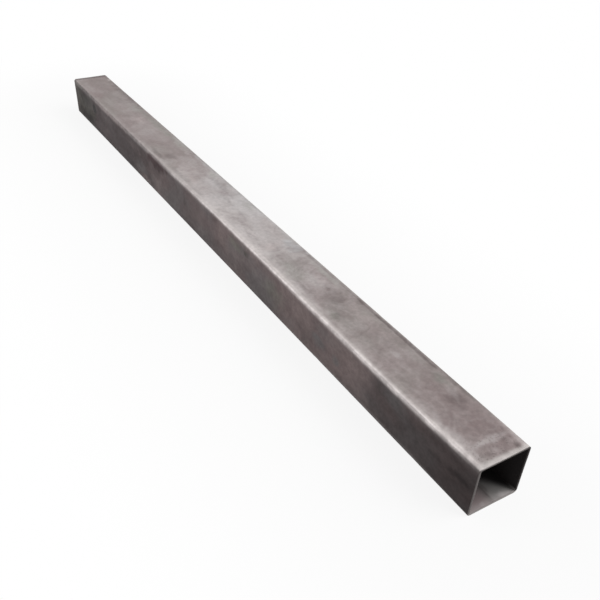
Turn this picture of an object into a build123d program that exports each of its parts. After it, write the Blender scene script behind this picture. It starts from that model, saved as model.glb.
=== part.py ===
import os

from build123d import *

# Square steel tube, rolled from strip and seam welded, with the weld's bead left inside.
# Millimetres. The tube lies along X, centred on the origin, with its lower wall on Z = 0.

# Driving dimensions
tube_width = 50.8  # across the flats, the same both ways
tube_length = 914.4
wall_thickness = 2.1
corner_radius = 3.2  # outside of each long corner
bore_radius = 1.1  # inside of each long corner, as the rolls leave it
bead_width = 2.2  # where the weld bead meets the lower wall
bead_height = 0.4
edge_break = 0.3  # the filed outer edge of each saw cut

# Worked out from them
bore_width = tube_width - 2 * wall_thickness
bore_floor = -bore_width / 2
bead_foot = bore_floor - wall_thickness / 2  # the bead is one metal with the wall

# The section's plane stands at one cut end, centred on the tube's axis
saw_cut = Plane(origin=(-tube_length / 2, 0, tube_width / 2), x_dir=(0, 1, 0), z_dir=(1, 0, 0))

with BuildPart() as square_tube:
    with BuildSketch(saw_cut) as section:
        RectangleRounded(tube_width, tube_width, corner_radius)
        RectangleRounded(bore_width, bore_width, bore_radius, mode=Mode.SUBTRACT)
        with BuildLine() as bead:
            left_toe = (-bead_width / 2, bore_floor)
            right_toe = (bead_width / 2, bore_floor)
            ThreePointArc(left_toe, (0, bore_floor + bead_height), right_toe)
            Polyline(right_toe, (bead_width / 2, bead_foot), (-bead_width / 2, bead_foot), left_toe)
        make_face()
    extrude(amount=tube_length)
    cut_faces = faces().filter_by(Axis.X).sort_by(Axis.X)
    chamfer(cut_faces[0].outer_wire().edges() + cut_faces[-1].outer_wire().edges(), edge_break)

square_tube.part.label = "square_tube"

os.makedirs("parts", exist_ok=True)
export_step(square_tube.part, "parts/square_tube.step")
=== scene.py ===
import math

import bpy
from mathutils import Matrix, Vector


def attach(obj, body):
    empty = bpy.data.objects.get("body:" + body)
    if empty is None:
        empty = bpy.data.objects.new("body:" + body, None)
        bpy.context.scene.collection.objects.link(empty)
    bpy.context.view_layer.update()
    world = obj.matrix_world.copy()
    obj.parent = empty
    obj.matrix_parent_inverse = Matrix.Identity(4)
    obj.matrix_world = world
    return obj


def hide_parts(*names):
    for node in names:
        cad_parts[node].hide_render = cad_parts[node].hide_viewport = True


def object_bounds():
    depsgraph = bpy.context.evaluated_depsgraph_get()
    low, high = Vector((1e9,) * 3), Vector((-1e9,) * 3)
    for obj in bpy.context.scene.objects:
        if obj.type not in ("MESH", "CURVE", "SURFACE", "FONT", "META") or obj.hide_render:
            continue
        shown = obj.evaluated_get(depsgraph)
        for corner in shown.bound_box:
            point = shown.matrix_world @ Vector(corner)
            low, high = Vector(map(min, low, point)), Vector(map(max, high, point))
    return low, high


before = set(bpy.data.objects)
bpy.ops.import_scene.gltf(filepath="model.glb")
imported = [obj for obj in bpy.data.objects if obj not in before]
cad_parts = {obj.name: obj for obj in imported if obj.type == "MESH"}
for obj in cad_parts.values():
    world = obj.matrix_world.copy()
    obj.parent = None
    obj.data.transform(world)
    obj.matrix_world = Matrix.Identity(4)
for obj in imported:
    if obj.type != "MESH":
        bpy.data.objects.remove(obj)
cadLow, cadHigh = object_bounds()
mm = 0.001

tube = {  # one length of rolled and welded square tube
    "length": cadHigh.x - cadLow.x,
    "width": cadHigh.z - cadLow.z,
    "wall": 2.1 * mm,
    "cornerRadius": 3.2 * mm,  # outside of each long corner
    "edgeRound": 0.3 * mm,  # filed edges of the saw cuts
    "cornerSteps": 7,
    "edgeSteps": 2,
    "flatCuts": 23,  # points added across each flat wall
    "lengthCuts": 219,
    "flatCrowding": 0.9,  # 0 spaces those points evenly, 1 draws them to the middle and the ends
    "lengthCrowding": 0.75,
    "beadWidth": 2.2 * mm,  # weld bead along the inside of the lower wall
    "beadHeight": 0.4 * mm,
    "beadFlank": 0.55,  # from its middle to where it ends, as a share of its width
    "rippleScale": 160.0,  # ripples of the bead, per metre
    "rippleFrom": 0.2,  # levels of the ripples between which the bead gains its height
    "rippleFull": 0.8,
    "rippleLow": 0.7,  # share of its height that is left in the hollows
    "dish": 0.12 * mm,  # how hollow the rolls leave each flat
    "sway": 0.1 * mm,  # slow unevenness along the flats
    "swayScale": 9.0,
    "dingDepth": 0.45 * mm,  # knocks along the long corners
    "dingScale": 42.0,
    "dingFrom": 0.6,  # levels of their noise between which a knock deepens
    "dingFull": 0.78,
    "dingInset": 0.88,  # share of half a flat that they leave alone
    "sawDepth": 0.22 * mm,  # saw marks on the cut ends
    "sawScale": 190.0,
    "sawGrain": (0.0, 1.0, 0.35),  # drawn out upwards
    "seed": 7.0,
    "dingSeed": 10.0,
}


def addNode(tree, kind, **settings):
    node = tree.nodes.new(kind)
    for name, value in settings.items():
        setattr(node, name, value)
    return node


def feed(tree, socket, value):  # a socket is linked, a plain value is set
    if isinstance(value, bpy.types.NodeSocket):
        tree.links.new(value, socket)
    else:
        socket.default_value = value


def calc(tree, operation, *values):
    node = addNode(tree, "ShaderNodeMath", operation=operation)
    for socket, value in zip(node.inputs, values):
        feed(tree, socket, value)
    return node.outputs[0]


def total(tree, first, *others):
    for other in others:
        first = calc(tree, "ADD", first, other)
    return first


def product(tree, first, *others):
    for other in others:
        first = calc(tree, "MULTIPLY", first, other)
    return first


def vectorCalc(tree, operation, *values):
    node = addNode(tree, "ShaderNodeVectorMath", operation=operation)
    for socket, value in zip(node.inputs, values):
        feed(tree, socket, value)
    return node.outputs[0]


def scaled(tree, vector, factor):
    node = addNode(tree, "ShaderNodeVectorMath", operation="SCALE")
    feed(tree, node.inputs[0], vector)
    feed(tree, node.inputs["Scale"], factor)
    return node.outputs[0]


def lengthOf(tree, vector):
    node = addNode(tree, "ShaderNodeVectorMath", operation="LENGTH")
    feed(tree, node.inputs[0], vector)
    return node.outputs["Value"]


def combine(tree, x, y, z):
    node = addNode(tree, "ShaderNodeCombineXYZ")
    for socket, value in zip(node.inputs, (x, y, z)):
        feed(tree, socket, value)
    return node.outputs[0]


def split(tree, vector):  # its X, Y and Z
    node = addNode(tree, "ShaderNodeSeparateXYZ")
    feed(tree, node.inputs[0], vector)
    return node.outputs


def ease(tree, value, low, high, toLow=0.0, toHigh=1.0):  # smooth step from low to high
    node = addNode(tree, "ShaderNodeMapRange", interpolation_type="SMOOTHSTEP")
    for name, setting in (("Value", value), ("From Min", low), ("From Max", high),
                          ("To Min", toLow), ("To Max", toHigh)):
        feed(tree, node.inputs[name], setting)
    return node.outputs[0]


def easeMm(tree, value, low, high, toLow=0.0, toHigh=1.0):  # the same, with low and high in millimetres
    return ease(tree, value, low * mm, high * mm, toLow, toHigh)


def noise(tree, vector, scale, detail=2.0, roughness=0.5, distortion=0.0, seed=0.0, output=0):
    node = addNode(tree, "ShaderNodeTexNoise", noise_dimensions="4D")
    for name, setting in (("Vector", vector), ("W", seed), ("Scale", scale), ("Detail", detail),
                          ("Roughness", roughness), ("Distortion", distortion)):
        feed(tree, node.inputs[name], setting)
    return node.outputs[output]


def addObject(name, data):
    thing = bpy.data.objects.new(name, data)
    bpy.context.scene.collection.objects.link(thing)
    return thing


def crowdPoints(tree, curve, reach, crowding, axes):  # draws points to the middle and the ends of a side
    apart = split(tree, addNode(tree, "GeometryNodeInputPosition").outputs[0])
    shifts = {"X": 0.0, "Y": 0.0}
    for axis in axes:
        along = apart[axis]
        size = calc(tree, "MINIMUM", calc(tree, "ABSOLUTE", along), reach)
        eased = ease(tree, size, 0.0, reach, 0.0, reach)
        shifts[axis] = product(tree, calc(tree, "SUBTRACT", eased, size), crowding, calc(tree, "SIGN", along))
    place = addNode(tree, "GeometryNodeSetPosition")
    feed(tree, place.inputs["Geometry"], curve)
    feed(tree, place.inputs["Offset"], combine(tree, shifts["X"], shifts["Y"], 0.0))
    return place.outputs[0]


def roundedLoop(tree, width, height, radius, steps, cuts, everySide):  # or cuts on its tall sides only
    loop = addNode(tree, "GeometryNodeCurvePrimitiveQuadrilateral", mode="RECTANGLE")
    feed(tree, loop.inputs["Width"], width)
    feed(tree, loop.inputs["Height"], height)
    corners = addNode(tree, "GeometryNodeFilletCurve", mode="POLY")
    feed(tree, corners.inputs["Curve"], loop.outputs[0])
    feed(tree, corners.inputs["Count"], steps)
    feed(tree, corners.inputs["Radius"], radius)
    index = addNode(tree, "GeometryNodeInputIndex").outputs[0]
    perSide = calc(tree, "ADD", steps, 1.0)  # each corner has one point more than its steps
    period = perSide if everySide else calc(tree, "MULTIPLY", perSide, 2.0)
    place = calc(tree, "MODULO", index, period)
    startsSide = calc(tree, "COMPARE", place, calc(tree, "SUBTRACT", period, 1.0), 0.5)
    longer = addNode(tree, "GeometryNodeSubdivideCurve")
    feed(tree, longer.inputs["Curve"], corners.outputs[0])
    feed(tree, longer.inputs["Cuts"], calc(tree, "MULTIPLY", startsSide, cuts))
    return longer.outputs[0]


def newInput(tree, name, kind):
    return tree.interface.new_socket(name, in_out="INPUT", socket_type=kind).identifier


def buildTubeTree(sizes):
    tree = bpy.data.node_groups.new("rolledSquareTube", "GeometryNodeTree")
    tree.is_modifier = True
    tree.interface.new_socket("Geometry", in_out="OUTPUT", socket_type="NodeSocketGeometry")
    kinds = {int: "NodeSocketInt", float: "NodeSocketFloat", tuple: "NodeSocketVector"}
    inputs = {name: newInput(tree, name, kinds[type(value)]) for name, value in sizes.items()}
    inputs["steel"] = newInput(tree, "steel", "NodeSocketMaterial")
    given = {socket.name: socket for socket in addNode(tree, "NodeGroupInput").outputs}

    # the path of the wall's middle round the square, and the wall's own long thin section
    half = calc(tree, "MULTIPLY", given["width"], 0.5)
    halfWall = calc(tree, "MULTIPLY", given["wall"], 0.5)
    midWidth = calc(tree, "SUBTRACT", given["width"], given["wall"])
    midRadius = calc(tree, "SUBTRACT", given["cornerRadius"], halfWall)
    flatReach = calc(tree, "SUBTRACT", half, given["cornerRadius"])
    path = roundedLoop(tree, midWidth, midWidth, midRadius, given["cornerSteps"], given["flatCuts"], True)
    path = crowdPoints(tree, path, flatReach, given["flatCrowding"], "XY")
    flatNormals = addNode(tree, "GeometryNodeSetCurveNormal", mode="Z_UP")
    feed(tree, flatNormals.inputs["Curve"], path)
    wallSection = roundedLoop(tree, given["wall"], given["length"], given["edgeRound"], given["edgeSteps"],
                              given["lengthCuts"], False)
    halfLength = calc(tree, "MULTIPLY", given["length"], 0.5)
    lengthReach = calc(tree, "SUBTRACT", halfLength, given["edgeRound"])
    wallSection = crowdPoints(tree, wallSection, lengthReach, given["lengthCrowding"], "Y")
    swept = addNode(tree, "GeometryNodeCurveToMesh")
    feed(tree, swept.inputs["Curve"], flatNormals.outputs[0])
    feed(tree, swept.inputs["Profile Curve"], wallSection)

    # laid along X with its lower wall on the floor
    laid = addNode(tree, "GeometryNodeTransform")
    feed(tree, laid.inputs["Geometry"], swept.outputs[0])
    feed(tree, laid.inputs["Rotation"], (math.radians(90), 0.0, math.radians(90)))
    feed(tree, laid.inputs["Translation"], combine(tree, 0.0, 0.0, half))

    here = addNode(tree, "GeometryNodeInputPosition").outputs[0]
    x, y, height = split(tree, here)
    z = calc(tree, "SUBTRACT", height, half)  # from the tube's own axis
    sideways, upright = calc(tree, "ABSOLUTE", y), calc(tree, "ABSOLUTE", z)
    outer = calc(tree, "MAXIMUM", sideways, upright)
    along = calc(tree, "MINIMUM", sideways, upright)  # distance from the middle of the flat
    endward = calc(tree, "ABSOLUTE", x)

    # hollow flats, slow sway and knocked corners all move metal towards the axis
    hollow = product(tree, ease(tree, along, 0.0, flatReach, 1.0, 0.0), given["dish"])
    slow = noise(tree, here, given["swayScale"], detail=1.0, seed=given["seed"])
    sway = product(tree, slow, given["sway"])
    knocks = noise(tree, here, given["dingScale"], seed=given["dingSeed"])
    onCorner = ease(tree, along, product(tree, flatReach, given["dingInset"]), flatReach)
    knocked = ease(tree, knocks, given["dingFrom"], given["dingFull"])
    sink = total(tree, hollow, sway, product(tree, knocked, onCorner, given["dingDepth"]))
    inwards = combine(tree, 0.0, product(tree, y, -1.0), product(tree, z, -1.0))
    moved = scaled(tree, vectorCalc(tree, "NORMALIZE", inwards), sink)

    # the weld bead stands up from the inside of the lower wall
    inBore = calc(tree, "LESS_THAN", outer, calc(tree, "SUBTRACT", half, halfWall))
    isLow = calc(tree, "LESS_THAN", z, 0.0)
    crown = ease(tree, sideways, 0.0, product(tree, given["beadWidth"], given["beadFlank"]), 1.0, 0.0)
    ripples = noise(tree, here, given["rippleScale"], roughness=0.6, seed=given["seed"])
    rippled = ease(tree, ripples, given["rippleFrom"], given["rippleFull"], given["rippleLow"], 1.0)
    beadLift = product(tree, crown, given["beadHeight"], inBore, isLow, rippled)
    moved = vectorCalc(tree, "ADD", moved, combine(tree, 0.0, 0.0, beadLift))

    # saw marks draw the cut ends in by a hair
    onCut = ease(tree, endward, calc(tree, "SUBTRACT", halfLength, given["wall"]), halfLength)
    sawn = noise(tree, vectorCalc(tree, "MULTIPLY", here, given["sawGrain"]), given["sawScale"],
                 roughness=0.6, seed=given["seed"])
    drawnIn = product(tree, sawn, onCut, given["sawDepth"], calc(tree, "SIGN", x), -1.0)
    moved = vectorCalc(tree, "ADD", moved, combine(tree, drawnIn, 0.0, 0.0))

    worked = addNode(tree, "GeometryNodeSetPosition")
    feed(tree, worked.inputs["Geometry"], laid.outputs[0])
    feed(tree, worked.inputs["Offset"], moved)
    smooth = addNode(tree, "GeometryNodeSetShadeSmooth")
    feed(tree, smooth.inputs["Geometry"], worked.outputs[0])
    whole = addNode(tree, "GeometryNodeRealizeInstances")
    feed(tree, whole.inputs["Geometry"], smooth.outputs[0])
    painted = addNode(tree, "GeometryNodeSetMaterial")
    feed(tree, painted.inputs["Geometry"], whole.outputs[0])
    feed(tree, painted.inputs["Material"], given["steel"])
    out = addNode(tree, "NodeGroupOutput")
    feed(tree, out.inputs[0], painted.outputs[0])
    return tree, inputs


def makeTube(steel):
    tree, inputs = buildTubeTree(tube)
    maker = addObject("tubeMaker", bpy.data.meshes.new("tubeMaker"))
    modifier = maker.modifiers.new("rolling", "NODES")
    modifier.node_group = tree
    for name, value in tube.items():
        modifier[inputs[name]] = value
    modifier[inputs["steel"]] = steel
    evaluated = maker.evaluated_get(bpy.context.evaluated_depsgraph_get())
    mesh = bpy.data.meshes.new_from_object(evaluated)
    mesh.name = "rolled_tube"
    bpy.data.objects.remove(maker)
    print("tube:", len(mesh.vertices), "points,", len(mesh.polygons), "faces")
    return addObject("rolled_tube", mesh)


steelTones = {  # linear colours of the one steel
    "bare": (0.62, 0.572, 0.56),  # rubbed bright along corners and cut edges; on the -Y upper corner also a painted highlight
    "filed": (0.6, 0.566, 0.55),  # along the burr that was filed off the ends, with a painted highlight at the +X end
    "rubbed": (0.52, 0.483, 0.478),  # metal polished by handling, also a painted reflection in the middle of the upper wall
    # cool also tints the painted reflection on the upper wall
    "cool": (0.47, 0.465, 0.472),
    "blush": (0.47, 0.405, 0.398),
    "skin": (0.283, 0.237, 0.232),  # mauve-grey upper wall
    "bloom": (0.178, 0.132, 0.131),  # reddish bloom of first rust
    "olive": (0.27, 0.262, 0.24),  # dried oil
    "sage": (0.38, 0.37, 0.348),
    "stain": (0.12, 0.096, 0.094),
    "side": (0.169, 0.13, 0.129),  # mill scale left on the side walls, painted darker than the upper wall as shade
    "sidePale": (0.235, 0.185, 0.18),
    "sideGrey": (0.165, 0.156, 0.158),
    "sideSage": (0.18, 0.17, 0.15),
    "sideDark": (0.065, 0.05, 0.051),
    "sideOlive": (0.072, 0.065, 0.057),
    "rust": (0.055, 0.03, 0.032),
    # the next tone is soot, and also painted shade at the foot of the walls and at the +X end of the front
    # wall
    "soot": (0.018, 0.0145, 0.0145),
    "cut": (0.1, 0.088, 0.086),  # sawn ends, dulled since
    "lip": (0.3, 0.275, 0.268),  # the edges of the sawn ends that catch on things, with painted highlights on the front wall's rim and the upper lip
    # the next tone is the bore's mill scale, painted darker still as shade
    "bore": (0.03, 0.0265, 0.0265),
    "dustPink": (0.275, 0.224, 0.224),  # settled on the lower wall inside, and painted light near the mouth
    "dustGrey": (0.275, 0.266, 0.258),
}

steelNoises = {  # scales are per metre, stretch is along X, Y and Z
    "clouds": dict(scale=20.0, stretch=(0.65, 1.0, 1.0), detail=1.5, distortion=0.5, seed=1.0),
    "blotches": dict(scale=44.0, stretch=(0.65, 1.0, 1.0), detail=2.0, distortion=0.8, seed=2.0),
    "flecks": dict(scale=100.0, stretch=(0.75, 1.0, 1.0), detail=2.0, distortion=0.5, seed=8.0),
    "pits": dict(scale=520.0, detail=2.0, roughness=0.6, seed=11.0),
    "mottle": dict(scale=260.0, detail=4.0, roughness=0.6, seed=3.0),
    "tides": dict(scale=26.0, detail=2.0, distortion=0.9, seed=6.0),
    "streaks": dict(scale=1.0, stretch=(7.0, 210.0, 210.0), detail=3.0, roughness=0.6, seed=4.0),
}

steelSkins = {  # a layer brings in its tone, up to its share, where its noise runs from low to high
    "top": {
        "tone": "skin",
        "under": [
            dict(noise="clouds", low=0.45, high=0.65, tone="olive", share=0.36),
            dict(noise="clouds", low=0.5, high=0.3, tone="bloom", share=0.22),
        ],
        "over": [
            dict(noise="blotches", low=0.5, high=0.7, tone="bloom", share=0.26),
            dict(noise="blotches", low=0.5, high=0.3, tone="rubbed", share=0.2),
            dict(noise="flecks", low=0.52, high=0.72, tone="stain", share=0.13),
            dict(noise="flecks", low=0.48, high=0.28, tone="rubbed", share=0.11),
        ],
    },
    "side": {
        "tone": "side",
        "under": [
            dict(noise="clouds", low=0.45, high=0.65, tone="sideGrey", share=0.6),
            dict(noise="clouds", low=0.5, high=0.3, tone="sidePale", share=0.5),
            dict(noise="blotches", low=0.5, high=0.7, tone="sideDark", share=0.3),
            dict(noise="blotches", low=0.5, high=0.3, tone="sidePale", share=0.3),
        ],
        "over": [
            dict(noise="flecks", low=0.5, high=0.72, tone="sideDark", share=0.1),
        ],
    },
    "bottom": {
        "tone": "side",
        "under": [
            dict(noise="clouds", low=0.45, high=0.65, tone="sideSage", share=0.6),
            dict(noise="clouds", low=0.5, high=0.3, tone="bloom", share=0.4),
        ],
        "over": [
            dict(noise="blotches", low=0.5, high=0.7, tone="sideDark", share=0.4),
            dict(noise="blotches", low=0.5, high=0.3, tone="sidePale", share=0.4),
            dict(noise="flecks", low=0.5, high=0.72, tone="soot", share=0.12),
        ],
    },
}

steelMarks = {  # millimetres: start from the +X cut, across from the -Y edge, or down from the top on a side
    # long and wide reach from the middle of a mark to its edge, crisp and wander shape that edge
    "top": [
        # the next three marks are a lighter, cooler pool in the middle of the upper wall: polished steel and
        # a painted reflection
        dict(start=402, across=25, long=240, wide=90, tone="rubbed", share=0.63),
        dict(start=415, across=23, long=130, wide=60, tone="rubbed", share=0.75),
        dict(start=440, across=36, long=90, wide=24, tone="cool", share=0.35),
        dict(start=286, across=31, long=50, wide=12, tone="rubbed", share=0.2),
        dict(start=420, across=21, long=40, wide=24, tone="bare", share=0.14),
        dict(start=326, across=41, long=17, wide=9, tone="bare", share=0.45),
        dict(start=591, across=41, long=15, wide=6, tone="rubbed", share=0.35),
        dict(start=210, across=20, long=13, wide=8, tone="stain", share=0.18),
        dict(start=632, across=41, long=13, wide=6, tone="stain", share=0.2),
        dict(start=800, across=31, long=32, wide=9, tone="stain", share=0.15),
        dict(start=175, across=20, long=110, wide=40, tone="rubbed", share=0.12),
        dict(start=11, across=24, long=7, wide=17, tone="stain", share=0.12),
        dict(start=16, across=37, long=3, wide=6, tone="stain", share=0.3),
        dict(start=9, across=15, long=3, wide=5, tone="stain", share=0.3),
        dict(start=6.5, across=42.5, long=4.2, wide=4, tone="stain", share=0.6),
        dict(start=20, across=29, long=5, wide=26, tone="rubbed", share=0.5),
        dict(start=37, across=27, long=15, wide=15, tone="bloom", share=0.3),
        dict(start=66, across=35, long=16, wide=9, tone="stain", share=0.5),
        dict(start=92, across=40, long=13, wide=7, tone="olive", share=0.6),
        dict(start=104, across=17, long=21, wide=11, tone="bloom", share=0.1),
        dict(start=134, across=27, long=9, wide=4, tone="rubbed", share=0.4),
        dict(start=190, across=33, long=40, wide=12, tone="blush", share=0.25),
        dict(start=150, across=44, long=130, wide=12, tone="olive", share=0.3),
        dict(start=75, across=49, long=45, wide=5, tone="sideOlive", share=0.35),
        dict(start=160, across=46, long=90, wide=2.4, tone="stain", share=0.7, crisp=0.4),
        dict(start=290, across=46.3, long=65, wide=2.4, tone="stain", share=0.4),
        dict(start=207, across=13, long=12, wide=9, tone="olive", share=0.8),
        dict(start=230, across=29, long=19, wide=12, tone="stain", share=0.25, crisp=0.6),
        dict(start=245, across=30, long=5, wide=4, tone="bloom", share=0.5),
        dict(start=257, across=11, long=8, wide=4, tone="stain", share=0.4),
        dict(start=304, across=5, long=34, wide=7, tone="stain", share=0.25, wander=0.5),
        dict(start=262, across=33, long=16, wide=8, tone="blush", share=0.35),
        dict(start=286, across=17, long=30, wide=15, tone="sage", share=0.6),
        dict(start=270, across=43, long=42, wide=5, tone="sage", share=0.6),
        dict(start=318, across=20, long=12, wide=13, tone="bloom", share=0.12),
        dict(start=337, across=18, long=11, wide=16, tone="blush", share=0.5),
        dict(start=326, across=42, long=24, wide=11, tone="cool", share=0.85),
        dict(start=384, across=21, long=15, wide=8, tone="skin", share=0.35),
        dict(start=440, across=25, long=11, wide=8, tone="skin", share=0.2),
        dict(start=424, across=43, long=16, wide=7, tone="sage", share=0.5),
        dict(start=488, across=37, long=28, wide=7, tone="stain", share=0.3),
        dict(start=515, across=43, long=15, wide=7, tone="sage", share=0.6),
        dict(start=470, across=47, long=230, wide=5, tone="cool", share=0.4),
        dict(start=548, across=21, long=42, wide=18, tone="blush", share=0.25),
        dict(start=515, across=16, long=16, wide=9, tone="blush", share=0.5),
        dict(start=695, across=30, long=120, wide=40, tone="rubbed", share=0.17),
        dict(start=586, across=18, long=12, wide=10, tone="stain", share=0.4),
        dict(start=600, across=6.5, long=24, wide=5, tone="stain", share=0.5),
        dict(start=520, across=5, long=60, wide=8, tone="stain", share=0.3, crisp=0),
        dict(start=615, across=8, long=14, wide=5, tone="stain", share=0.4),
        dict(start=478, across=4.5, long=20, wide=8, tone="stain", share=0.45),
        dict(start=625, across=44, long=45, wide=8, tone="sage", share=0.4),
        dict(start=718, across=27, long=19, wide=11, tone="blush", share=0.55),
        dict(start=690, across=43, long=95, wide=8, tone="olive", share=0.6),
        dict(start=755, across=38, long=24, wide=11, tone="olive", share=0.4),
        dict(start=812, across=48, long=85, wide=13, tone="stain", share=0.6),
        dict(start=805, across=36, long=45, wide=14, tone="bloom", share=0.25),
        dict(start=845, across=25, long=90, wide=40, tone="bloom", share=0.12),
        dict(start=457, across=49.5, long=480, wide=4, tone="olive", share=0.4),
        dict(start=889, across=46, long=5, wide=3, tone="bare", share=0.6),
        # the next two widen the painted highlight along the -Y upper corner
        dict(start=24, across=6, long=60, wide=9, tone="rubbed", share=0.4),
        dict(start=265, across=5, long=90, wide=9, tone="rubbed", share=0.42),
        dict(start=8, across=49, long=23, wide=6, tone="bare", share=0.45),
        dict(start=32, across=51, long=30, wide=4, tone="bare", share=0.4),
    ],
    "front": [
        dict(start=880, across=28, long=310, wide=300, tone="sideDark", share=0.88, crisp=0.74, wander=0.3),
        dict(start=530, across=14, long=120, wide=34, tone="sideDark", share=0.3, crisp=0),
        dict(start=500, across=28, long=112, wide=80, tone="sideDark", share=0.22, crisp=0.5, wander=0.5),
        dict(start=150, across=17, long=27, wide=18, tone="sidePale", share=0.6),
        dict(start=172, across=22, long=50, wide=40, tone="sidePale", share=0.55),
        dict(start=238, across=22, long=24, wide=20, tone="sidePale", share=0.5),
        dict(start=181, across=30, long=8, wide=7, tone="sideGrey", share=0.7),
        dict(start=211, across=28, long=16, wide=9, tone="sideGrey", share=0.7),
        dict(start=292, across=26, long=27, wide=18, tone="sideSage", share=0.6),
        dict(start=375, across=12, long=24, wide=9, tone="sideSage", share=0.7),
        dict(start=352, across=10, long=7, wide=6, tone="sideOlive", share=0.6),
        dict(start=412, across=22, long=24, wide=20, tone="sidePale", share=0.55),
        dict(start=590, across=9, long=34, wide=11, tone="rust", share=1.0),
        dict(start=612, across=10, long=26, wide=6, tone="rust", share=0.75),
        dict(start=645, across=32, long=22, wide=13, tone="sideGrey", share=0.45),
        dict(start=672, across=15, long=20, wide=8, tone="sidePale", share=0.12),
        dict(start=742, across=33, long=32, wide=12, tone="sideDark", share=0.6),
        dict(start=775, across=34, long=24, wide=11, tone="bloom", share=0.25),
        dict(start=780, across=15, long=34, wide=10, tone="sidePale", share=0.1),
        dict(start=592, across=18, long=30, wide=15, tone="sideDark", share=0.4),
        dict(start=852, across=22, long=32, wide=24, tone="sideDark", share=0.5),
        dict(start=630, across=45, long=32, wide=8, tone="sidePale", share=0.55),
        dict(start=888, across=26, long=58, wide=70, tone="sideOlive", share=0.9, crisp=0.85, wander=0.5),
        dict(start=826, across=17, long=11, wide=9, tone="soot", share=0.9, crisp=0.5, wander=0.4),
        dict(start=852, across=16, long=18, wide=11, tone="sideDark", share=0.6),
        dict(start=873, across=8, long=24, wide=7, tone="rust", share=0.8),
        dict(start=875, across=43, long=26, wide=8, tone="sideDark", share=0.5),
        # a lighter strip just under the -Y upper corner: painted highlight
        dict(start=760, across=3.5, long=88, wide=5, tone="sidePale", share=0.7),
        # the next seven darken the lower edge of the front wall: painted shade where it meets the floor
        dict(start=110, across=49, long=115, wide=12, tone="sideDark", share=0.35),
        dict(start=505, across=50, long=90, wide=11, tone="sideDark", share=0.6),
        dict(start=780, across=50, long=160, wide=13, tone="sideDark", share=0.6),
        dict(start=686, across=44, long=36, wide=9, tone="soot", share=0.6),
        dict(start=735, across=50, long=40, wide=9, tone="soot", share=0.5),
        dict(start=800, across=50, long=50, wide=10, tone="soot", share=0.5),
        dict(start=872, across=47, long=44, wide=14, tone="soot", share=0.5),
        # the next two darken the front wall towards the +X cut: painted shade
        dict(start=0, across=25, long=134, wide=230, tone="soot", share=0.36, crisp=0.88, wander=0.2),
        dict(start=0, across=25, long=90, wide=120, tone="soot", share=0.55, wander=0.5),
        dict(start=22, across=6, long=50, wide=6, tone="sideDark", share=0.7),
        dict(start=95, across=12, long=24, wide=8, tone="sideGrey", share=0.3),
        dict(start=16, across=23, long=17, wide=5.5, tone="soot", share=0.75, crisp=0),
        dict(start=43, across=26, long=11, wide=5, tone="soot", share=0.4, crisp=0),
        dict(start=430, across=41, long=330, wide=17, tone="sideGrey", share=0.32, crisp=0),
        dict(start=450, across=36, long=300, wide=24, tone="sideOlive", share=0.12, crisp=0),
        dict(start=705, across=27, long=62, wide=20, tone="sideDark", share=0.6),
        dict(start=722, across=36, long=80, wide=26, tone="sideDark", share=0.55, crisp=0.4, wander=0.5),
        dict(start=88, across=28, long=66, wide=48, tone="soot", share=0.15, crisp=0.3),
        dict(start=862, across=45, long=64, wide=13, tone="soot", share=0.4, crisp=0.4, wander=0.5),
        dict(start=850, across=11, long=50, wide=10, tone="soot", share=0.24, crisp=0.4, wander=0.5),
        dict(start=591, across=9.5, long=20, wide=8, tone="sideDark", share=0.55),
        dict(start=495, across=38, long=48, wide=13, tone="sideDark", share=0.2),
        dict(start=108, across=4, long=45, wide=5, tone="sideDark", share=0.35),
        dict(start=343, across=4.5, long=36, wide=5.5, tone="sidePale", share=0.55),
        dict(start=585, across=4, long=58, wide=7, tone="rust", share=0.9),
        dict(start=609, across=6.5, long=16, wide=5, tone="rust", share=0.95, wander=0.4),
        dict(start=574, across=7.8, long=13, wide=4.5, tone="rust", share=0.8, wander=0.4),
        dict(start=858, across=5, long=27, wide=7, tone="sideDark", share=0.8),
        dict(start=874, across=14, long=36, wide=17, tone="soot", share=0.55),
        dict(start=864, across=39, long=50, wide=17, tone="soot", share=0.55),
    ],
    "back": [
        dict(start=120, across=20, long=90, wide=50, tone="sidePale", share=0.5),
        dict(start=265, across=30, long=22, wide=13, tone="sideGrey", share=0.6),
        dict(start=352, across=14, long=40, wide=7, tone="rust", share=0.6),
        dict(start=430, across=28, long=120, wide=60, tone="sideOlive", share=0.35),
        dict(start=470, across=36, long=18, wide=9, tone="soot", share=0.4),
        dict(start=560, across=18, long=60, wide=22, tone="sidePale", share=0.5),
        dict(start=655, across=33, long=14, wide=8, tone="sideDark", share=0.7),
        dict(start=700, across=12, long=70, wide=8, tone="sideSage", share=0.6),
        dict(start=790, across=26, long=10, wide=5, tone="soot", share=0.6),
        dict(start=900, across=25, long=95, wide=150, tone="soot", share=0.3, crisp=0.9),
        # along the foot of the back wall: painted shade
        dict(start=640, across=48, long=420, wide=6, tone="sideDark", share=0.5),
    ],
    "bottom": [
        dict(start=90, across=18, long=70, wide=20, tone="sidePale", share=0.5),
        dict(start=210, across=36, long=30, wide=10, tone="rust", share=0.5),
        dict(start=380, across=14, long=90, wide=12, tone="sideSage", share=0.6),
        dict(start=505, across=34, long=26, wide=12, tone="soot", share=0.4),
        dict(start=640, across=15, long=60, wide=14, tone="sidePale", share=0.5),
        dict(start=805, across=31, long=40, wide=16, tone="rust", share=0.4),
    ],
    "corner": [  # over the rubbed corner between the front and the upper wall, down from the top
        dict(start=592, across=5, long=42, wide=6, tone="rust", share=0.26, crisp=0.5, wander=0.4),
        dict(start=608, across=6.3, long=16, wide=4.5, tone="rust", share=0.6, crisp=0.4, wander=0.4),
        dict(start=864, across=4, long=22, wide=5, tone="rust", share=0.3, wander=0.4),
    ],
    "bore": [  # inside, on the lower wall
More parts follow.
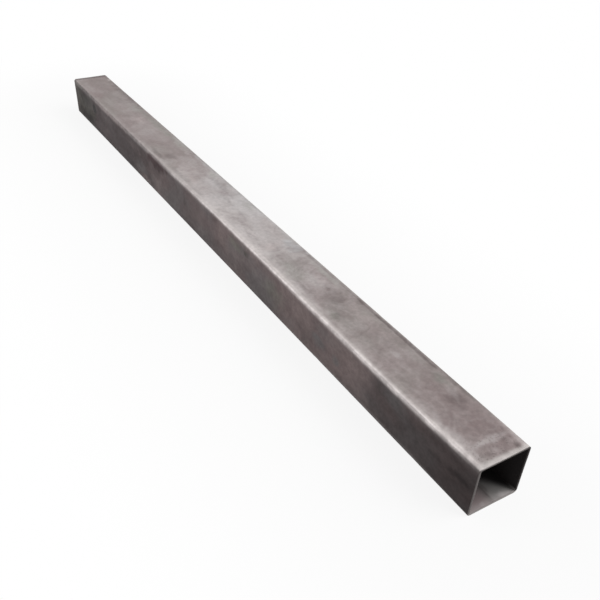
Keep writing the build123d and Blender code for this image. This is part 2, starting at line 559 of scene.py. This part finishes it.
        dict(start=2.5, across=39, long=4, wide=8, tone="rubbed", share=0.6),
        dict(start=9, across=14, long=7, wide=9, tone="dustPink", share=0.6),
        dict(start=12, across=18, long=6, wide=7, tone="dustPink", share=0.5),
        dict(start=15, across=28.5, long=8, wide=3, tone="soot", share=0.3),
        dict(start=24, across=22, long=7, wide=7, tone="stain", share=0.25),
        dict(start=3, across=17, long=3, wide=4, tone="rubbed", share=0.3),
    ],
}

steelWear = {  # a ramp is from, to and the shares at its two ends: its steps are noise levels or millimetres
    "crisp": 0.2,  # share of a mark's reach where it is at its full strength, unless the mark says another
    "ragged": 1.6,  # how far the edge of a mark wanders, as a share of its size, where its wander is 1
    "edges": {"ragged": dict(scale=34.0, seed=5.0), "fineRagged": dict(scale=95.0, seed=9.0)},
    "smallMark": 20.0,  # millimetres: narrower marks than this get the fine edge
    "rings": [  # dried tide marks follow these levels of the tides
        dict(at=0.52, width=0.042, tone="stain", share=0.14),
        dict(at=0.44, width=0.04, tone="rubbed", share=0.11),
    ],
    "ringsRamp": (0.42, 0.58),  # they come in with the blotches
    "ringsAlong": (-200.0, 50.0),  # and along X
    "calmAlong": (-300.0, 200.0, 0.6, 1.0),  # towards -X the upper wall is more even
    "pitsRamp": (0.53, 0.68),  # small dark pits
    "pitsInward": (12.0, 36.0, 0.42, 0.084),  # most of them near the +X cut
    "grain": 0.082,  # how much the fine mottle darkens and lightens the upper wall
    "sideGrain": 0.115,
    "drawn": 0.035,  # and the drawn streaks along the tube
    "grainLevels": (0.3, 0.7),  # of the mottle and the streaks
    "turnRamp": (-1.6, 1.6, 1.0, 0.0),  # over a long corner, from the upper and lower walls to the sides
    "upperRamp": (0.0, 5.0),  # above the axis, from the lower wall to the upper
    "backRamp": (-5.0, 5.0),  # from the front to the back
    "seamRamp": (1.5, 5.0, 0.5, 0.0),  # heat of the weld, seen under the lower wall
    "footRamp": (1.0, 6.0, 0.35, 0.0),  # painted shade at the foot of the side walls
}

cornerWear = {  # where the long corners are rubbed bright and a highlight is painted along the -Y upper corner, in millimetres from a corner's own line
    "share": 0.96,
    "centre": 0.9,  # the band's middle, on the side wall
    "fullReach": 0.8,  # it is at its full share this far to both sides
    "topReach": 5.1,  # and ends this far off on the upper wall
    "sideReach": 6.4,
    "reachRamp": (0.0, 2.0),  # the one reach becomes the other from here to here
    "drift": 3.4,  # how much further in on the upper wall the band lies at driftAt
    "driftAt": 60.0,  # along X
    "driftReach": 290.0,
    "endDrift": 2.6,  # the same at the +X cut
    "endReach": 90.0,
    "endDull": (0.0, 24.0, 0.3, 1.0),  # duller at that cut
    "shoulderRamp": (-11.0, -2.6, 0.0, 0.3),  # a paler strip of the upper wall beside the band, the soft edge of the painted highlight
    "shoulderEnd": (-2.6, 1.0, 1.0, 0.0),
    "belowRamp": (10.0, 3.0, 0.0, 0.13),  # and one of the side wall, also painted highlight
    "belowEnd": (3.0, 1.0, 1.0, 0.0),
    "backRamp": (0.5, 2.0, 0.1, 0.5),  # share of it all on the back's corners, from the flat to the side wall
    "backReach": -20.0,
    "lowerRamp": (0.0, 5.0, 0.2, 1.0),  # less on the two lower corners
    "farRamp": (-300.0, 200.0, 0.25, 1.0),  # and less towards the -X end
    "fleckRamp": (0.35, 0.6, 1.1, 0.75),  # patchy with the flecks
}

cutWear = {  # millimetres from the sawn ends, and on their faces from the outside, with painted highlights on their edges
    "wobble": 3.0,
    "nearRamp": (1.5, 6.2, 0.72, 0.0),  # filed bright on the upper wall, with a painted highlight there
    "farRamp": (4.0, 10.0, 0.5, 0.0),  # dark round the -X end
    "shade": 0.75,  # the sawn face darkens towards +Y
    "frontRim": (2.1, 3.4, 0.2, 0.0),  # painted highlight on the front wall's rim, seen end on
    "upperLip": (1.5, 0.3, 0.0, 0.85),  # worn bright along its outer edge, with a painted highlight there
    "upperLipBack": 0.45,  # share of it that is left at +Y
    "lowerLip": (3.2, 1.6),
}

boreWear = {  # millimetres in from the mouth, across from the middle or up from the floor; the dust also stands in for light coming in at the mouth
    "pinkToGrey": (-8.0, 8.0),
    "lipRamp": (0.0, 9.0, 0.4, 0.0),  # the first stretch is brighter: painted light at the mouth
    "spotsRamp": (0.45, 0.7, 0.0, 0.4),  # levels of the blotches
    "beadScaleAt": 1.1,  # a darker line on the lower wall inside, over the bead and along its +Y side
    "beadScaleRamp": (0.0, 2.1, 0.46, 0.0),
    "beadScaleInward": (0.0, 8.0, 0.3, 1.0),
    "floorRamp": (2.6, 5.0, 1.0, 0.0),  # the dust lies on the lower wall
    # the dust, and the painted light with it, fades deeper in
    "dustRamp": (-5.0, 38.0, 1.0, 0.0),
    "slant": 0.0165,  # painted shadow of the +Y wall: the dust reaches deeper on the -Y side, losing this share of the width for each millimetre in
    "slantRamp": (0.9, 1.12, 1.0, 0.0),
}

steelFinish = {  # how the surface takes light
    "sideMetal": 0.05,  # how metallic each surface is
    "topMetal": 0.45,
    "rubbedMetal": 0.75,
    "roughRamp": (0.3, 0.75, 0.42, 0.56),  # from noise level to roughness
    "specular": 0.03,
    "bumpStrength": 0.25,
    "bumpDepth": 0.1 * mm,
    "boreRamp": (1.6, 0.9, 1.0, 0.0),  # millimetres under the outer face, where the bore's skin ends
    "cutRamp": (0.7, 0.3),  # millimetres in from the cut, where the sawn face starts
}


def colour(rgb):
    return (*rgb, 1.0)


def grey(level):
    return (level, level, level, 1.0)


def mix(tree, factor, first, second, way="MIX"):
    node = addNode(tree, "ShaderNodeMix", data_type="RGBA", blend_type=way)
    feed(tree, node.inputs["Factor"], factor)
    feed(tree, node.inputs[6], first)
    feed(tree, node.inputs[7], second)
    return node.outputs[2]


def tint(tree, share, skin, tone):  # lays a tone of the steel over its skin
    return mix(tree, share, skin, colour(steelTones[tone]))


def stampMark(tree, field, skin, face, mark):
    half = tube["width"] / 2
    alongX = tube["length"] / 2 - mark["start"] * mm
    fromTop = tube["width"] - mark["across"] * mm
    long, wide, through = mark["long"] * mm, mark["wide"] * mm, tube["length"]
    if face in ("top", "bottom", "bore"):
        centre = (alongX, mark["across"] * mm - half, 0.0)
        reach = (long, wide, through)
    elif face == "corner":
        centre = (alongX, -half, fromTop)
        reach = (long, wide, wide)
    else:
        centre = (alongX, 0.0, fromTop)
        reach = (long, through, wide)
    away = vectorCalc(tree, "DIVIDE", vectorCalc(tree, "SUBTRACT", field["at"], centre), reach)
    isSmall = min(mark["long"], mark["wide"]) < steelWear["smallMark"]
    wander = field["fineRagged" if isSmall else "ragged"]
    if "wander" in mark:
        wander = scaled(tree, wander, mark["wander"])
    gap = lengthOf(tree, vectorCalc(tree, "ADD", away, wander))
    share = ease(tree, gap, mark.get("crisp", steelWear["crisp"]), 1.0, mark["share"], 0.0)
    return tint(tree, share, skin, mark["tone"])


def addLayers(tree, field, skin, layers, strength=1.0):
    for layer in layers:
        share = ease(tree, field[layer["noise"]], layer["low"], layer["high"], 0.0, layer["share"])
        if strength != 1.0:
            share = product(tree, share, strength)
        skin = tint(tree, share, skin, layer["tone"])
    return skin


def raggedNoise(tree, at, scale, seed):  # three even noises, centred on nothing
    even = noise(tree, at, scale, detail=3.0, seed=seed, output="Color")
    return scaled(tree, vectorCalc(tree, "SUBTRACT", even, (0.5, 0.5, 0.5)), steelWear["ragged"])


def makeFields(tree):  # where a point is on the tube, and the noises that every layer shares
    at = addNode(tree, "ShaderNodeTexCoord").outputs["Object"]
    half, halfLength = tube["width"] / 2, tube["length"] / 2
    field = {"at": at}
    field["x"], field["y"], field["height"] = split(tree, at)
    field["z"] = calc(tree, "SUBTRACT", field["height"], half)
    sideways, upright = calc(tree, "ABSOLUTE", field["y"]), calc(tree, "ABSOLUTE", field["z"])
    field["turn"] = calc(tree, "SUBTRACT", sideways, upright)  # nothing at a corner, less on top and bottom
    field["depth"] = calc(tree, "SUBTRACT", half, calc(tree, "MAXIMUM", sideways, upright))
    field["fromNear"] = calc(tree, "SUBTRACT", halfLength, field["x"])
    field["inward"] = calc(tree, "SUBTRACT", halfLength, calc(tree, "ABSOLUTE", field["x"]))
    for name, settings in steelNoises.items():
        given = dict(settings)
        stretch = given.pop("stretch", None)
        field[name] = noise(tree, vectorCalc(tree, "MULTIPLY", at, stretch) if stretch else at, **given)
    for name, settings in steelWear["edges"].items():
        field[name] = raggedNoise(tree, at, **settings)
    field["onFlat"] = easeMm(tree, field["turn"], *steelWear["turnRamp"])
    field["upper"] = easeMm(tree, field["z"], *steelWear["upperRamp"])
    field["onTop"] = product(tree, field["onFlat"], field["upper"])
    field["calm"] = easeMm(tree, field["x"], *steelWear["calmAlong"])
    return field


def makeSkin(tree, field, kind, face, strength=1.0):
    wear = steelSkins[kind]
    skin = addLayers(tree, field, colour(steelTones[wear["tone"]]), wear["under"])
    for mark in steelMarks[face]:
        skin = stampMark(tree, field, skin, face, mark)
    return addLayers(tree, field, skin, wear["over"], strength)


def tideMarks(tree, field, skin):
    held = product(tree, ease(tree, field["blotches"], *steelWear["ringsRamp"]),
                   easeMm(tree, field["x"], *steelWear["ringsAlong"]))
    for ring in steelWear["rings"]:
        level = calc(tree, "ABSOLUTE", calc(tree, "SUBTRACT", field["tides"], ring["at"]))
        share = product(tree, ease(tree, level, 0.0, ring["width"], ring["share"], 0.0), held)
        skin = tint(tree, share, skin, ring["tone"])
    return skin


def cutPits(tree, field, skin):
    share = product(tree, easeMm(tree, field["fromNear"], *steelWear["pitsInward"]),
                    ease(tree, field["pits"], *steelWear["pitsRamp"]))
    return tint(tree, share, skin, "stain")


def outerSkin(tree, field):
    top = tideMarks(tree, field, makeSkin(tree, field, "top", "top", field["calm"]))
    top = cutPits(tree, field, top)
    bottom = makeSkin(tree, field, "bottom", "bottom")
    seam = easeMm(tree, calc(tree, "ABSOLUTE", field["y"]), *steelWear["seamRamp"])
    bottom = tint(tree, seam, bottom, "sideDark")
    front = makeSkin(tree, field, "side", "front")
    back = makeSkin(tree, field, "side", "back")
    side = mix(tree, easeMm(tree, field["y"], *steelWear["backRamp"]), front, back)
    # painted shade at the foot of the side walls
    side = tint(tree, easeMm(tree, field["height"], *steelWear["footRamp"]), side, "soot")
    flat = mix(tree, field["upper"], bottom, top)
    return mix(tree, field["onFlat"], side, flat)


# bare metal on worn corners, with a painted highlight along the -Y upper corner
def rubbedCorners(tree, field):
    wear = cornerWear
    fromDrift = calc(tree, "ABSOLUTE", calc(tree, "SUBTRACT", field["x"], wear["driftAt"] * mm))
    drift = easeMm(tree, fromDrift, 0.0, wear["driftReach"], wear["drift"] * mm, 0.0)
    endDrift = easeMm(tree, field["fromNear"], 0.0, wear["endReach"], wear["endDrift"] * mm, 0.0)
    turn = total(tree, field["turn"], drift)
    endTurn = total(tree, turn, endDrift)
    offCentre = calc(tree, "ABSOLUTE", calc(tree, "SUBTRACT", endTurn, wear["centre"] * mm))
    reach = easeMm(tree, endTurn, *wear["reachRamp"], wear["topReach"] * mm, wear["sideReach"] * mm)
    band = ease(tree, offCentre, wear["fullReach"] * mm, reach, wear["share"], 0.0)
    shoulder = product(tree, easeMm(tree, turn, *wear["shoulderRamp"]),
                       easeMm(tree, turn, *wear["shoulderEnd"]))
    below = product(tree, easeMm(tree, turn, *wear["belowRamp"]), easeMm(tree, turn, *wear["belowEnd"]))
    onBack = easeMm(tree, field["y"], wear["backReach"], 0.0, 1.0, easeMm(tree, turn, *wear["backRamp"]))
    return product(tree, total(tree, band, shoulder, below), onBack,
                   easeMm(tree, field["z"], *wear["lowerRamp"]),
                   easeMm(tree, field["fromNear"], *wear["endDull"]),
                   easeMm(tree, field["x"], *wear["farRamp"]),
                   ease(tree, field["flecks"], *wear["fleckRamp"]))


def cutBands(tree, field, skin):
    wobble = product(tree, split(tree, field["fineRagged"])["X"], cutWear["wobble"] * mm)
    fromNear = calc(tree, "SUBTRACT", field["fromNear"], wobble)
    # the filed band holds a painted highlight too
    band = product(tree, easeMm(tree, fromNear, *cutWear["nearRamp"]), field["onTop"])
    skin = tint(tree, band, skin, "filed")
    fromFar = total(tree, field["x"], tube["length"] / 2, wobble)
    return tint(tree, easeMm(tree, fromFar, *cutWear["farRamp"]), skin, "sideDark")


def boreSkin(tree, field):
    y, inward = field["y"], field["inward"]
    dust = mix(tree, easeMm(tree, y, *boreWear["pinkToGrey"]), colour(steelTones["dustPink"]),
               colour(steelTones["dustGrey"]))
    # painted light just inside the mouth
    dust = tint(tree, easeMm(tree, inward, *boreWear["lipRamp"]), dust, "rubbed")
    dust = tint(tree, ease(tree, field["blotches"], *boreWear["spotsRamp"]), dust, "stain")
    for mark in steelMarks["bore"]:
        dust = stampMark(tree, field, dust, "bore", mark)
    offBead = calc(tree, "ABSOLUTE", calc(tree, "SUBTRACT", y, boreWear["beadScaleAt"] * mm))
    beadScale = product(tree, easeMm(tree, offBead, *boreWear["beadScaleRamp"]),
                        easeMm(tree, inward, *boreWear["beadScaleInward"]))
    dust = tint(tree, beadScale, dust, "soot")
    # the dust ends in a painted shadow of the +Y wall, slanting deeper towards -Y
    across = calc(tree, "ADD", calc(tree, "DIVIDE", y, tube["width"]), 0.5)
    slanted = calc(tree, "MULTIPLY_ADD", inward, boreWear["slant"] / mm, across)
    settled = product(tree, easeMm(tree, field["height"], *boreWear["floorRamp"]),
                      ease(tree, slanted, *boreWear["slantRamp"]),
                      easeMm(tree, inward, *boreWear["dustRamp"]))
    # dust and painted light near the mouth, painted shade over the rest of the bore
    return mix(tree, settled, colour(steelTones["bore"]), dust)


def cutSkin(tree, field):
    half = tube["width"] / 2
    fromFront = calc(tree, "ADD", field["y"], half)
    fromTop = calc(tree, "SUBTRACT", half, field["z"])
    shade = ease(tree, field["y"], -half, half, 0.0, cutWear["shade"])
    skin = tint(tree, shade, colour(steelTones["cut"]), "soot")
    # painted highlights on the front wall's rim and along the worn upper lip
    skin = tint(tree, easeMm(tree, fromFront, *cutWear["frontRim"]), skin, "lip")
    upperLip = product(tree, easeMm(tree, fromTop, *cutWear["upperLip"]),
                       ease(tree, field["y"], 0.0, half, 1.0, cutWear["upperLipBack"]))
    lowerLip = easeMm(tree, field["height"], *cutWear["lowerLip"])
    return tint(tree, total(tree, upperLip, lowerLip), skin, "lip")


def makeSteel():
    material = bpy.data.materials.new("mill_steel")
    material.use_nodes = True
    tree = material.node_tree
    shader = tree.nodes["Principled BSDF"]
    field = makeFields(tree)

    # the rubbed corners also carry a painted highlight
    rub = rubbedCorners(tree, field)
    skin = tint(tree, rub, outerSkin(tree, field), "bare")
    for mark in steelMarks["corner"]:
        skin = stampMark(tree, field, skin, "corner", mark)
    skin = cutBands(tree, field, skin)
    topGrain = product(tree, field["calm"], steelWear["grain"])
    grainDepth = ease(tree, field["onTop"], 0.0, 1.0, steelWear["sideGrain"], topGrain)
    drawn = ease(tree, field["streaks"], *steelWear["grainLevels"], 1.0 - steelWear["drawn"],
                 1.0 + steelWear["drawn"])
    mottled = ease(tree, field["mottle"], *steelWear["grainLevels"], -1.0, 1.0)
    shade = calc(tree, "MULTIPLY_ADD", mottled, grainDepth, drawn)
    skin = mix(tree, 1.0, skin, combine(tree, shade, shade, shade), "MULTIPLY")
    inside = easeMm(tree, field["depth"], *steelFinish["boreRamp"])
    skin = mix(tree, inside, skin, boreSkin(tree, field))
    onCut = easeMm(tree, field["inward"], *steelFinish["cutRamp"])
    feed(tree, shader.inputs["Base Color"], mix(tree, onCut, skin, cutSkin(tree, field)))

    metal = mix(tree, field["onTop"], grey(steelFinish["sideMetal"]), grey(steelFinish["topMetal"]))
    metal = mix(tree, rub, metal, grey(steelFinish["rubbedMetal"]))
    feed(tree, shader.inputs["Metallic"], mix(tree, inside, metal, grey(0.0)))
    feed(tree, shader.inputs["Roughness"], ease(tree, field["blotches"], *steelFinish["roughRamp"]))
    feed(tree, shader.inputs["Specular IOR Level"], steelFinish["specular"])
    bump = addNode(tree, "ShaderNodeBump")
    feed(tree, bump.inputs["Strength"], steelFinish["bumpStrength"])
    feed(tree, bump.inputs["Distance"], steelFinish["bumpDepth"])
    feed(tree, bump.inputs["Height"], total(tree, field["mottle"], field["streaks"]))
    feed(tree, shader.inputs["Normal"], bump.outputs[0])
    return material


stageSet = {
    "floorSize": 30.0,
    "floorColour": (0.8, 0.8, 0.8),
    "floorRoughness": 0.9,
    "shownWhite": 0.88,  # share of plain white that the eye and reflections see on the floor
    "whiteFrom": 0.05,  # metres from the tube, where the floor turns into the white backdrop
    "whiteTo": 0.3,
    "skyColour": (1.0, 1.0, 1.0),
    "skyLevel": 0.4,
    "skyShown": 1.0,
    "lamps": {  # place and aim in metres, size of the panel, watts
        "front_panel": dict(place=(2.5, 2.75, 3.35), aim=(0.0, 0.0, 0.0), size=(3.6, 3.6), power=187.0),
        "back_strip": dict(place=(-0.63, -0.75, 0.62), aim=(-0.63, 0.0, 0.05), size=(1.5, 0.45), power=3.4),
    },
}


def directSight(tree):  # 1 on the camera's, reflected and refracted rays, 0 on those that light the tube
    ray = addNode(tree, "ShaderNodeLightPath").outputs
    seen = calc(tree, "MAXIMUM", ray["Is Camera Ray"], ray["Is Glossy Ray"])
    return calc(tree, "MAXIMUM", seen, ray["Is Transmission Ray"])


def makeFloor():
    size = stageSet["floorSize"] / 2
    mesh = bpy.data.meshes.new("studio_floor")
    corners = [(-size, -size, 0), (size, -size, 0), (size, size, 0), (-size, size, 0)]
    mesh.from_pydata(corners, [], [(0, 1, 2, 3)])
    floor = addObject("studio_floor", mesh)
    material = bpy.data.materials.new("studio_floor")
    material.use_nodes = True
    tree = material.node_tree
    plain = tree.nodes["Principled BSDF"]
    feed(tree, plain.inputs["Base Color"], colour(stageSet["floorColour"]))
    feed(tree, plain.inputs["Roughness"], stageSet["floorRoughness"])
    feed(tree, plain.inputs["Specular IOR Level"], 0.0)
    white = addNode(tree, "ShaderNodeEmission")
    feed(tree, white.inputs["Strength"], 1.0)
    apart = split(tree, addNode(tree, "ShaderNodeTexCoord").outputs["Object"])
    pastEnd = calc(tree, "SUBTRACT", calc(tree, "ABSOLUTE", apart["X"]), tube["length"] / 2)
    away = lengthOf(tree, combine(tree, calc(tree, "MAXIMUM", pastEnd, 0.0), apart["Y"], 0.0))
    whiteness = ease(tree, away, stageSet["whiteFrom"], stageSet["whiteTo"], stageSet["shownWhite"], 1.0)
    share = addNode(tree, "ShaderNodeMixShader")
    feed(tree, share.inputs[0], product(tree, directSight(tree), whiteness))
    feed(tree, share.inputs[1], plain.outputs[0])
    feed(tree, share.inputs[2], white.outputs[0])
    feed(tree, tree.nodes["Material Output"].inputs["Surface"], share.outputs[0])
    mesh.materials.append(material)


def makeSky():
    world = bpy.data.worlds.new("studio_sky")
    bpy.context.scene.world = world
    world.use_nodes = True
    tree = world.node_tree
    sky = tree.nodes["Background"]
    feed(tree, sky.inputs["Color"], colour(stageSet["skyColour"]))
    level = ease(tree, directSight(tree), 0.0, 1.0, stageSet["skyLevel"], stageSet["skyShown"])
    feed(tree, sky.inputs["Strength"], level)


def makeLights():
    for name, lamp in stageSet["lamps"].items():
        data = bpy.data.lights.new(name, "AREA")
        data.shape = "RECTANGLE"
        data.size, data.size_y = lamp["size"]
        data.energy = lamp["power"]
        panel = addObject(name, data)
        panel.location = lamp["place"]
        towards = Vector(lamp["aim"]) - Vector(lamp["place"])
        panel.rotation_euler = towards.to_track_quat("-Z", "Y").to_euler()
        panel.visible_camera = False


viewpoint = {  # metres and millimetres of lens
    "place": (0.67772, -0.3238, 0.42392),
    "turn": (50.9602, -2.2943, 58.8783),  # degrees about X, Y and Z
    "lens": 43.176,
    "shift": 0.1,
    "clipStart": 0.01,
}


def makeCamera():
    data = bpy.data.cameras.new("studio_camera")
    data.lens = viewpoint["lens"]
    data.shift_y = viewpoint["shift"]
    data.clip_start = viewpoint["clipStart"]
    camera = addObject("studio_camera", data)
    camera.location = viewpoint["place"]
    camera.rotation_euler = [math.radians(angle) for angle in viewpoint["turn"]]
    bpy.context.scene.camera = camera


bpy.context.scene.view_settings.view_transform = "Standard"
makeCamera()
print("camera set")
makeFloor()
makeSky()
makeLights()
print("stage set")
rolledTube = makeTube(makeSteel())
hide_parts("square_tube")
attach(rolledTube, "root")
print("tube in place")
